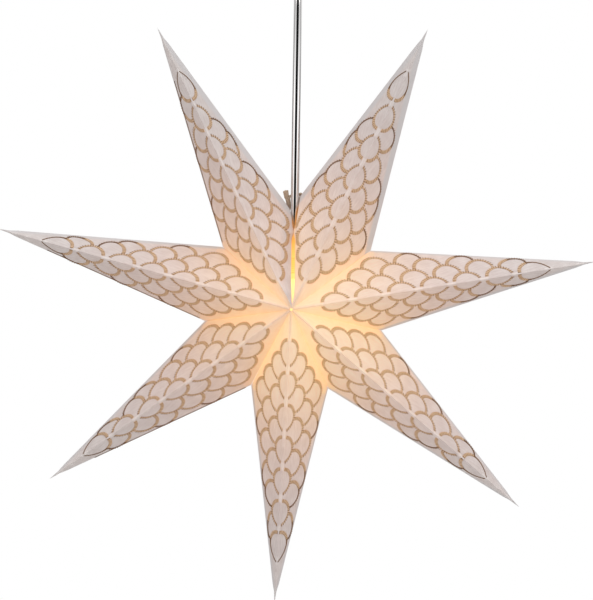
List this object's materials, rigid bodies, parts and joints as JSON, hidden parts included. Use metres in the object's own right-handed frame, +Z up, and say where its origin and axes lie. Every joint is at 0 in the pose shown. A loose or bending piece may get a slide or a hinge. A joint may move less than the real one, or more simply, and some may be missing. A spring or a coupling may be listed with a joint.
{
  "type": "paper star pendant light",
  "caption": "Folded paper star shade with a stitched scale pattern, tied around a polished tube with a screw bulb inside, hung from a ball-swivel ceiling canopy.",
  "frame": {"origin": "middle of the bracket's ceiling face", "axes": "+Z up out of the ceiling face, the star's front faces -Y"},
  "size_m": [0.5897, 0.1592, 0.6967],
  "materials": {
    "paper": "pale handmade paper, printed and glitter-stitched scale pattern",
    "twine": "natural twine",
    "chrome": "polished",
    "holder": "smooth cream",
    "brass": "bright",
    "nickel": "nickel plated",
    "bulb_glass": "frosted",
    "bulb_stem": "pale",
    "filament": "warm white, lit",
    "steel": "zinc plated",
    "nylon": "white nylon",
    "lead": "white"
  },
  "bodies": {
    "ceiling": {"ceiling_bracket": "steel", "canopy": "chrome", "canopy_screws": "chrome", "terminal_block": "nylon", "terminal_screws": "steel"},
    "seat": {"swivel_seat": "nylon"},
    "hanger": {"swivel_ball": "steel", "tube_locknut": "steel", "tube": "chrome", "lamp_lead": "lead", "lead_cores": "lead", "holder_cap": "holder", "cap_locknut": "steel", "holder_body": "holder", "holder_core": "holder", "holder_screw_shell": "brass", "centre_contact": "brass", "side_contact": "brass"},
    "bulb": {"bulb_cap": "nickel", "bulb_tip": "brass", "bulb_glass": "bulb_glass", "bulb_stem": "bulb_stem", "bulb_filament": "filament"},
    "star": {"point_4": "paper"},
    "arm_3": {"point_3": "paper"},
    "arm_2": {"point_2": "paper"},
    "arm_1": {"point_1": "paper", "tie_right": "twine"},
    "arm_5": {"point_5": "paper"},
    "arm_6": {"point_6": "paper"},
    "arm_7": {"point_7": "paper", "tie_left": "twine"}
  },
  "joints": [
    {"name": "swing_front", "type": "hinge", "parent": "ceiling", "child": "seat", "pos_m": [0, 0, -0.028], "axis": [1, 0, 0], "range_deg": [-10, 10]},
    {"name": "swing_side", "type": "hinge", "parent": "seat", "child": "hanger", "pos_m": [0, 0, -0.028], "axis": [0, 1, 0], "range_deg": [-10, 10], "deforming": ["lead_cores"]},
    {"name": "bulb_turn", "type": "hinge", "parent": "hanger", "child": "bulb", "pos_m": [0, 0, -0.36], "axis": [0, 0, 1], "continuous": true},
    {"name": "star_turn", "type": "hinge", "parent": "hanger", "child": "star", "pos_m": [0, 0, -0.4], "axis": [0, 0, 1], "continuous": true},
    {"name": "fold_3", "type": "hinge", "parent": "star", "child": "arm_3", "pos_m": [0, 0, -0.4], "axis": [0, 1, 0], "range_deg": [0, 49.3], "deforming": ["point_3", "point_4"]},
    {"name": "fold_2", "type": "hinge", "parent": "arm_3", "child": "arm_2", "pos_m": [0, 0, -0.4], "axis": [0, 1, 0], "range_deg": [0, 47.5], "deforming": ["point_2"]},
    {"name": "fold_1", "type": "hinge", "parent": "arm_2", "child": "arm_1", "pos_m": [0, 0, -0.4], "axis": [0, 1, 0], "range_deg": [0, 53.3], "deforming": ["point_1"]},
    {"name": "fold_5", "type": "hinge", "parent": "star", "child": "arm_5", "pos_m": [0, 0, -0.4], "axis": [0, -1, 0], "range_deg": [0, 48.3], "deforming": ["point_5"]},
    {"name": "fold_6", "type": "hinge", "parent": "arm_5", "child": "arm_6", "pos_m": [0, 0, -0.4], "axis": [0, -1, 0], "range_deg": [0, 47.5], "deforming": ["point_6"]},
    {"name": "fold_7", "type": "hinge", "parent": "arm_6", "child": "arm_7", "pos_m": [0, 0, -0.4], "axis": [0, -1, 0], "range_deg": [0, 47], "deforming": ["point_7"]}
  ],
  "couplings": [
    {"joint": "fold_2", "follows": "fold_3", "ratio": 0.9634},
    {"joint": "fold_1", "follows": "fold_3", "ratio": 1.0811},
    {"joint": "fold_5", "follows": "fold_3", "ratio": 0.9797},
    {"joint": "fold_6", "follows": "fold_3", "ratio": 0.9634},
    {"joint": "fold_7", "follows": "fold_3", "ratio": 0.9533}
  ]
}
